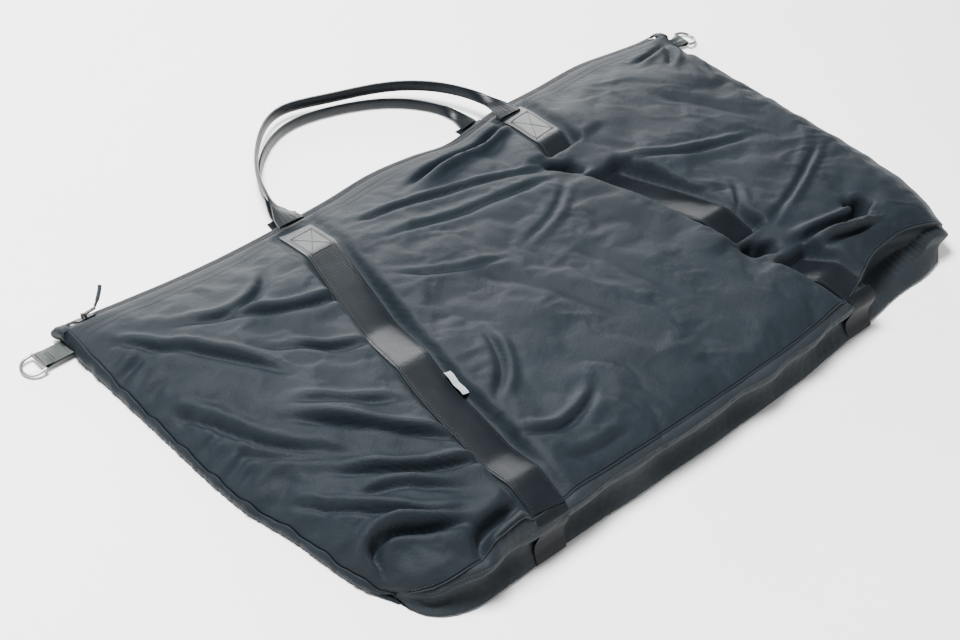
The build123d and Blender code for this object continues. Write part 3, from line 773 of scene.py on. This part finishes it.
def end_cloth(side, name):
    """The cloth that closes one end, from the front panel's edge down to the floor, with small pleats."""
    edge = shell[0 if side < 0 else -1]
    tops = edge[1 : last_front + 1 : 2]
    gusset_edge = edge[last_front : last_gusset + 1]
    floor_edge = edge[last_gusset : last_gusset + FLOOR_ROWS + 1]
    rim_edge = edge[last_gusset + FLOOR_ROWS + 1 :][::-1]
    steps = np.linspace(0, 1, 15)
    grid = np.zeros((len(tops), len(steps), 3))

    def profile(points, axis):
        """How far an edge bends away from straight along an axis, at each step down to the floor."""
        z = points[:, 2]
        share = (z[0] - z) / (z[0] - z[-1])
        line = points[0, axis] + (points[-1, axis] - points[0, axis]) * share
        return np.interp(steps, share, points[:, axis] - line)

    base_in, base_out, rim_out = profile(gusset_edge, 0), profile(gusset_edge, 1), profile(rim_edge, 1)
    for j, top in enumerate(tops):
        near_base = math.exp(-(top[1] - tops[-1][1]) / 0.012)
        near_rim = math.exp(-(tops[0][1] - top[1]) / 0.008)
        floor_y = min(max(top[1], gusset_edge[-1, 1]), rim_edge[-1, 1])
        foot = float(np.interp(floor_y, floor_edge[:, 1], floor_edge[:, 0]))
        bulge = (0.0015 + top[2] * 0.15) * (1 - 0.8 * near_rim)
        pleat = 0.05 * top[2] * math.sin(top[1] * 2 * math.pi / 0.030)
        pleat += 0.03 * top[2] * math.sin(top[1] * 370 + 1)
        pleat *= 0.35 if side > 0 else 1.0
        out = side * (bulge + pleat) * (1 - near_base)
        for t, u in enumerate(steps):
            swell = math.sin(math.pi * u) ** 0.75
            x = top[0] + (foot - top[0]) * u + base_in[t] * near_base + out * swell
            y = top[1] + (floor_y - top[1]) * u + base_out[t] * near_base + rim_out[t] * near_rim
            grid[j, t] = (x, y, top[2] * (1 - u) + 0.0004 * u)
    panel(f"end_cloth_{name}", grid[:, ::side], NYLON, f"end_panel_{name}")


for side, name in SIDES:
    end_cloth(side, name)


def lowest_near(values, reach):
    """The lowest value within reach grid steps along both axes."""
    for axis in (0, 1):
        count = values.shape[axis]
        padded = np.pad(values, [(reach, reach) if a == axis else (0, 0) for a in (0, 1)], mode="edge")
        around = [np.take(padded, range(k, k + count), axis=axis) for k in range(2 * reach + 1)]
        values = np.min(around, axis=0)
    return values


def liner(name, inner, keep_rows):
    """A panel of the liner, from some rows of the inner surface at every fourth station."""
    keep_x = list(range(4, len(xs) - 4, 4))
    obj = grid_object(f"liner_{name}_cloth", inner[np.ix_(keep_x, list(keep_rows))], LINER_THICK)
    place_piece(obj, LINER, "bag", "liner_cloth", f"liner_{name}")


inner = shell - NORMALS * LINER_GAP
inner[:, : last_front + 1, 2] = lowest_near(shell[:, : last_front + 1, 2], 5) - 0.0035
inner[:, :, 2] = np.maximum(inner[:, :, 2], 0.0025)
gusset_inside = shell[:, last_front : last_gusset + 1, 1].max(axis=1)
inner[:, :, 1] = np.maximum(inner[:, :, 1], gusset_inside[:, None] + 0.004)
liner("front", inner, range(8, last_gusset - 3, 4))
liner("back", inner, range(last_gusset - 3, len(rows) - 6))


def shell_run(k, first, last, lift=0.0004):
    """(point, normal) along one row of the shell between two stations."""
    return [(shell[i, k] + NORMALS[i, k] * lift, NORMALS[i, k]) for i in range(first, last + 1)]


stitched_rows = [kinds.index("front") + 2, kinds.index("front") + 5, last_front - 1, last_front + 1]
runs = [shell_run(k, 4, len(xs) - 5) for k in stitched_rows]
place_piece(dashes("panel_topstitching", runs), THREAD, "bag", "thread")
seam = tube("base_seam_ridge", [p for p, _ in shell_run(last_front, 3, len(xs) - 4, 0.0002)], 0.0009)
# The base seam ridge wears the gusset's lighter copy of the nylon: painted light.
place_piece(seam, NYLON_GUSSET_PAINTED_LIGHT, "bag", "navy_nylon")


# ---- straps ----
def strap_grid(side, ys, cols=11):
    """A strip of webbing along a strap's line, at the front strap's height."""
    along = (STRAP_TOP - STRAP_BASE).normalized()

    def point(i, j):
        off = (j / (cols - 1) - 0.5) * WEB_WIDE
        x, y = strap_centre(side, ys[i]) + off * along.y, ys[i] - side * off * along.x
        edge = abs(off) / (STRAP / 2)
        return x, plan_warp(x, y), strap_height(side, y) + 0.0004 - 0.0006 * edge**4

    return sheet(len(ys), cols, point)


def front_strap(side, name):
    """A front strap in its facets, from the handle to the base seam."""
    grid = strap_grid(side, np.linspace(0.2655, BASE_Y, 130))
    lay(f"front_strap_{name}_webbing", grid, WEB, WEBBING, "webbing", f"front_strap_{name}")


def base_strap(side, name):
    """The strap's length over the gusset: taut from the bulge to the floor."""
    draw = smooth(DRAW_X, DRAW_IN, strap_centre(side, -0.30))
    ys, zs = curve(mm((-286.8, 63.5), (-295, 59), (-300.5, 50), (-299.5, 40), (-297.5, 29), (-299.5, 18),
                      (-305.5, 8.5), (-307, 3), (-300, 1)), 40)

    def point(i, j):
        x = strap_centre(side, ys[i]) + (j / 10 - 0.5) * WEB_WIDE
        return x, ys[i] + draw + 0.0005, max(zs[i], 0.0010)

    grid = sheet(len(ys), 11, point)
    # The base strap wears the darker, rougher copy of the webbing: the darkness is painted shade.
    lay(f"base_strap_{name}_webbing", grid, WEB, WEBBING_MATT_PAINTED_SHADE, "webbing", f"base_strap_{name}")


def rear_strap(side, name):
    """The strap's length under the back panel, flush with its underside, its top bent in to the rear handle."""
    top = 0.3165
    ys = np.linspace(top, -0.2905, 80)
    grid = strap_grid(side, ys, 7)
    share = step(0.240, 0.300, ys)[:, None]
    grid[:, :, 0] -= side * share * (strap_centre(1, top) - REAR_ROOT_X)
    grid[:, :, 1] += share * (ys[:, None] - grid[:, :, 1])
    grid[:, :, 2] = 0.00065
    lay(f"rear_strap_{name}_webbing", grid, 0.0012, WEBBING, "webbing", f"rear_strap_{name}")


def on_strap(side, u, y, normal=(0, 0, 1)):
    """(point, normal) just above a front strap, u across from its centre line."""
    x = strap_centre(side, y) + u
    return (x, plan_warp(x, y), strap_height(side, y) + 0.0012), normal


stitch_runs = []
for side, name in SIDES:
    front_strap(side, name)
    base_strap(side, name)
    rear_strap(side, name)
    for edge in (-1, 1):
        u = edge * (STRAP / 2 - 0.0040)
        stitch_runs.append([on_strap(side, u, y) for y in np.linspace(0.258, -0.280, 90)])
place_piece(dashes("strap_edge_stitching", stitch_runs), THREAD, "bag", "thread")


def box_tacks():
    """A box of stitches with a cross in it on each strap, below the handle, between two bar tacks."""
    w, top, low = 0.018, 0.252, 0.196
    corners = [(-w, top), (w, top), (w, low), (-w, low), (-w, top)]
    lines = list(zip(corners, corners[1:])) + [((-w, top), (w, low)), ((w, top), (-w, low))]
    lean = (0, 0.15, 1)
    found = []
    for side in (-1, 1):
        for (u0, y0), (u1, y1) in lines:
            found.append([on_strap(side, u0 + (u1 - u0) * t / 12, y0 + (y1 - y0) * t / 12, lean)
                          for t in range(13)])
        for y in (top, low):
            found.append([on_strap(side, -0.019 + 0.038 * k / 40, y + (0.0012 if k % 2 else -0.0012), lean)
                          for k in range(41)])
    return dashes("strap_box_tacks", found, 0.0024, 0.0006, 0.0004)


place_piece(box_tacks(), THREAD, "bag", "thread", "strap_bar_tacks")


# ---- handles ----
def handle_path(root, reach, lift, shift, skew, power, bulge, count=72):
    """Centre line of a handle from its left root to its right root, as a list of points."""
    leg_x, y0, z0 = root
    points = []
    for k in range(count + 1):
        t = math.pi * k / count
        c, s = -math.cos(t), math.sin(t)
        x = math.copysign(abs(c) ** power, c) * leg_x + shift * s
        y = y0 + reach * s + bulge * math.exp(-(((x + 0.05) / 0.078) ** 2))
        points.append(Vector((x, y + skew * s * c, z0 + lift(s))))
    return points


def band_frame(points, turns, k):
    """Directions along a flat band and across it at point k: a turn of 0 lies flat, 90 stands on edge."""
    along = (points[min(k + 1, len(points) - 1)] - points[max(k - 1, 0)]).normalized()
    flat = Vector((0, 0, 1)).cross(along).normalized()
    up = along.cross(flat)
    angle = math.radians(turns[k])
    return along, flat * math.cos(angle) + up * math.sin(angle)


def build_handle(body, path, root_width, tip_turn):
    """One handle: a wide root on the strap, narrowing and turning on edge into the loop."""
    n = len(path)
    ends = [min(k, n - 1 - k) / (n - 1) for k in range(n)]
    widths = [root_width + (LOOP_WIDTH - root_width) * step(0.0, 0.075, end) for end in ends]
    turns = [tip_turn * step(0.02, 0.13, end) for end in ends]
    frames = [band_frame(path, turns, k) for k in range(n)]
    grid = sheet(n, 7, lambda k, j: path[k] + frames[k][1] * ((j / 6 - 0.5) * widths[k]))
    place_piece(slab(f"{body}_webbing", grid, HANDLE_THICK, crown=0.0006), WEBBING, body, "webbing", body)
    runs = []
    for off in (-0.0045, 0.0045):
        run = []
        for k in range(8, n - 8):
            along, side = frames[k]
            normal = side.cross(along)
            run.append((path[k] + side * off + normal * (HANDLE_THICK / 2 + 0.0005), normal))
        runs.append(run)
    place_piece(dashes(f"{body}_webbing_stitching", runs, 0.0032, 0.0016, 0.0004), THREAD, body, "thread")


front_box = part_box("front_handle")
rear_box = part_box("rear_handle")
front_path = handle_path(
    (0.200, 0.2680, 0.0405), reach=front_box[1][1] - 0.268 - 0.004, lift=lambda s: -0.0225 * s**1.7,
    shift=0.002, skew=0.004, power=0.85, bulge=0.026)
build_handle("front_handle", front_path, 0.040, 78.0)
rear_path = handle_path(
    (REAR_ROOT_X, 0.3130, 0.0035), reach=rear_box[1][1] - 0.313 - 0.005,
    lift=lambda s: 0.0050 * min(1.0, s * 3.5), shift=-0.012, skew=0.0, power=0.92, bulge=0.012)
build_handle("rear_handle", rear_path, 0.030, 82.0)


# ---- zip ----
def zip_point(x, u, n):
    """A point of the zip's own frame: along, across, out."""
    return Vector((x, ZIP_Y - smooth(MOUTH_X, MOUTH_IN, x), ZIP_Z)) + ACROSS * u + OUT * n


def zip_tape(side, name):
    """A woven tape from beside the coil to under the hem."""
    stations = np.linspace(-0.531, 0.531, 150)
    grid = sheet(150, 5, lambda i, j: zip_point(stations[i], side * (0.0008 + 0.0125 * j / 4), -0.0025))
    lay(f"zip_tape_{name}_weave", grid, 0.0008, TAPE, "zip_tape", f"zip_tape_{name}")


def zip_coil(side, name):
    """One coil: a row of close turns, each a flattened loop."""
    verts, faces = [], []
    pitch, half = 0.0026, 0.522
    around, sides, radius = 8, 4, 0.00052
    for t in range(int(2 * half / pitch)):
        x0 = -half + pitch * (t + 0.5 + side * 0.25)
        base = len(verts)
        for a in range(around):
            angle = a / around * 2 * math.pi
            u, n = math.cos(angle), math.sin(angle)
            p = zip_point(x0 + 0.0005 * n, side * 0.0023 + 0.0016 * u, -0.0006 + 0.0009 * n)
            outward = (ACROSS * u + OUT * n).normalized()
            for b in range(sides):
                turn = b / sides * 2 * math.pi
                verts.append(p + outward * (radius * math.cos(turn)) + Vector((radius * math.sin(turn), 0, 0)))
        for a in range(around):
            here, following = base + a * sides, base + (a + 1) % around * sides
            faces += [(q[3], *q[:3]) for q in ring_faces(following, here, sides)]
    place_piece(new_object(f"zip_coil_{name}_turns", verts, faces), COIL, "bag", "zip_coil", f"zip_coil_{name}")


for side, name in ((-1, "front"), (1, "back")):
    zip_tape(side, name)
    zip_coil(side, name)

for node, mat in (
    ("zip_stop_left", COIL), ("zip_stop_right", COIL), ("zip_slider", DARK_METAL), ("zip_pull", DARK_METAL),
    ("d_ring_left", NICKEL), ("d_ring_right", NICKEL),
):
    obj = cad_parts[node]
    obj.data.materials.clear()
    obj.data.materials.append(mat)


def pull_tag():
    """A folded tape tag from the pull's free end, standing up in a soft curve."""
    hinge = Vector((-0.508, 0.29455, 0.027597))
    pull = [Vector(v.co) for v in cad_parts["zip_pull"].data.vertices]
    reach = max((p - hinge).length for p in pull)
    tip = [p for p in pull if (p - hinge).length > reach - 0.0035]
    here = sum(tip, Vector()) / len(tip)
    line = []
    for i in range(14):
        lean = math.radians(42 + 22 * i / 13)
        here = here + (Vector((1, 0, 0)) * math.cos(lean) + OUT * math.sin(lean)) * 0.0021
        line.append(here)
    grid = sheet(14, 5, lambda i, j: line[i] + ACROSS * ((j / 4 - 0.5) * (0.0068 if i > 3 else 0.0040)))
    return slab("zip_pull_tag", grid, 0.0024)


place_piece(pull_tag(), BINDING, "zip_pull", "binding_tape")


# ---- ends: covers, bindings, tabs ----
def end_cover(side, name):
    """A folded square of cloth wrapped over the end of the zip."""
    outs, lifts = curve(mm((535, 1.6), (540, 2.2), (545.5, 2), (549, -0.5), (548.5, -5), (545, -10),
                           (542.5, -13)), 22)

    def point(i, j):
        u = (j / 12 - 0.5) * 0.0255
        sag = -0.0035 * (abs(u) / 0.0128) ** 3 + 0.0005 * math.sin(j * 1.7 + i * 0.8)
        p = zip_point(side * outs[i], u, lifts[i] + sag)
        return p.x, p.y, max(p.z, 0.006)

    grid = sheet(len(lifts), 13, point)[:, ::-side]
    lay(f"zip_end_cover_{name}_cloth", grid, 0.0016, NYLON, "navy_nylon", f"zip_end_cover_{name}")


def end_binding(side, name):
    """Flat tape along the foot of the end seam, slightly puckered."""
    ys = np.linspace(0.256, -0.262, 150)

    def point(i, j):
        y = ys[i]
        x = seam_warp(-END_X, y) if side < 0 else END_X - CORNER_IN * step(-0.10, -0.27, y)
        wave = 0.0005 * math.sin(y * 2 * math.pi / 0.013) + 0.0004 * math.sin(y * 2 * math.pi / 0.0083 + 1)
        out = 0.0034 + 0.0006 * math.sin(math.pi * j / 4) + wave
        return x + side * out, plan_warp(side * END_X, y), 0.0022 + 0.0070 * j / 4 + wave

    grid = sheet(len(ys), 5, point)[:, ::side]
    lay(f"end_binding_{name}_tape", grid, 0.0009, BINDING, "binding_tape", f"end_binding_{name}")


def ring_tab(side, name, crumple):
    """Narrow webbing folded round the D-ring's bar and sewn into the end seam."""
    low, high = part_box(f"d_ring_tab_{name}")
    mid_y, mid_z = (low[1] + high[1]) / 2, (low[2] + high[2]) / 2
    root, bar, fold_r = side * 0.5365, side * 0.583, 0.0031
    path = []
    for leg in (1, -1):
        for t in np.linspace(0, 1, 16)[::leg]:
            gap = leg * (0.0016 + 0.0014 * step(0.7, 1.0, t))
            path.append((root + (bar - root) * t, mid_z + gap))
        if leg > 0:
            for a in np.radians(np.linspace(80, -80, 11)):
                path.append((bar + side * fold_r * math.cos(a), mid_z + fold_r * math.sin(a)))

    def point(i, j):
        x, z = path[i]
        far = abs(x - root) / abs(bar - root)
        off = (j / 8 - 0.5) * 0.0240
        arch = math.sin(math.pi * min(far, 1.0))
        fold = crumple * math.sin(off * 520 + far * 5) * 0.0022 * arch
        return x, mid_y + off * (1 - crumple * 0.35 * arch), z + fold

    grid = sheet(len(path), 9, point)[:, ::-side]
    lay(f"d_ring_tab_{name}_webbing", grid, 0.0012, WEBBING_LIGHT, "webbing", f"d_ring_tab_{name}")
    runs = [[((side * x, mid_y - 0.009 + 0.018 * k / 8, mid_z + 0.0027), (0, 0, 1)) for k in range(9)]
            for x in (0.5440, 0.5500, 0.5700, 0.5740)]
    place_piece(dashes(f"d_ring_tab_{name}_stitching", runs, 0.0024, 0.0008), THREAD, "bag", "thread")


for side, name in SIDES:
    end_cover(side, name)
    end_binding(side, name)
    ring_tab(side, name, 0.0 if side < 0 else 1.0)


def side_label():
    """A blank folded label, caught under the strap's edge and curling up a little."""
    low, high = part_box("side_label")
    mid_y = (low[1] + high[1]) / 2 - 0.004

    def point(i, j):
        y = mid_y + (i / 11 - 0.5) * 0.038
        x = strap_centre(-1, y) + STRAP / 2 + 0.001 + (j / 6 - 0.5) * 0.011
        lift = 0.0050 + 0.0030 * (1 - j / 6) ** 2 + 0.0010 * math.sin(i * 0.9)
        return x, y, strap_height(-1, y) + lift

    lay("side_label_blank", sheet(12, 7, point), 0.0007, LABEL, "label_cloth", "side_label")


side_label()


# ---- studio ----
def studio():
    """Pale floor, soft world light and three soft lamps."""
    size = 16.0
    corners = [(-size, -size, 0), (size, -size, 0), (size, size, 0), (-size, size, 0)]
    floor = new_object("studio_floor", corners, [(0, 1, 2, 3)])
    floor.location.z = -0.0006
    floor.data.materials.append(floor_material())
    world = bpy.data.worlds.new("studio_world")
    bpy.context.scene.world = world
    world.use_nodes = True
    sky = world.node_tree.nodes["Background"].inputs
    sky["Color"].default_value = (1, 1, 1, 1)
    sky["Strength"].default_value = 0.30
    lamps = (
        ("back_softbox", (1.3, 2.8, 0.80), (0.0, 0.0, 0.05), 3.4, 1.0, 200.0),
        ("top_softbox", (-0.9, 0.7, 3.0), (0.0, 0.0, 0.0), 1.1, 1.1, 440.0),
        ("front_fill", (0.5, -2.6, 0.45), (0.15, -0.3, 0.03), 3.0, 0.7, 46.0),
    )
    for name, place, target, wide, high, power in lamps:
        light = bpy.data.lights.new(name, "AREA")
        light.shape = "RECTANGLE"
        light.size, light.size_y = wide, high
        light.energy = power
        obj = bpy.data.objects.new(name, light)
        obj.location = place
        obj.rotation_euler = (Vector(target) - Vector(place)).to_track_quat("-Z", "Y").to_euler()
        bpy.context.scene.collection.objects.link(obj)


def camera():
    """The view: from the base's left, 42 degrees up, rolled by 12 degrees."""
    azimuth, elevation, roll = math.radians(-52.833), math.radians(42.405), math.radians(12.0)
    target, distance = Vector((-0.0919, 0.0240, 0.0)), 2.792
    level = math.cos(elevation)
    back_to = Vector((math.sin(azimuth) * level, -math.cos(azimuth) * level, math.sin(elevation)))
    right = Vector((0, 0, 1)).cross(back_to).normalized()
    up = back_to.cross(right)
    right, up = right * math.cos(roll) + up * math.sin(roll), up * math.cos(roll) - right * math.sin(roll)
    data = bpy.data.cameras.new("camera")
    data.sensor_width = 36.0
    data.lens = 82.76
    obj = bpy.data.objects.new("camera", data)
    turned = Matrix((right, up, back_to)).transposed().to_4x4()
    turned.translation = target + back_to * distance
    obj.matrix_world = turned
    bpy.context.scene.collection.objects.link(obj)
    bpy.context.scene.camera = obj


studio()
camera()

bpy.context.view_layer.update()
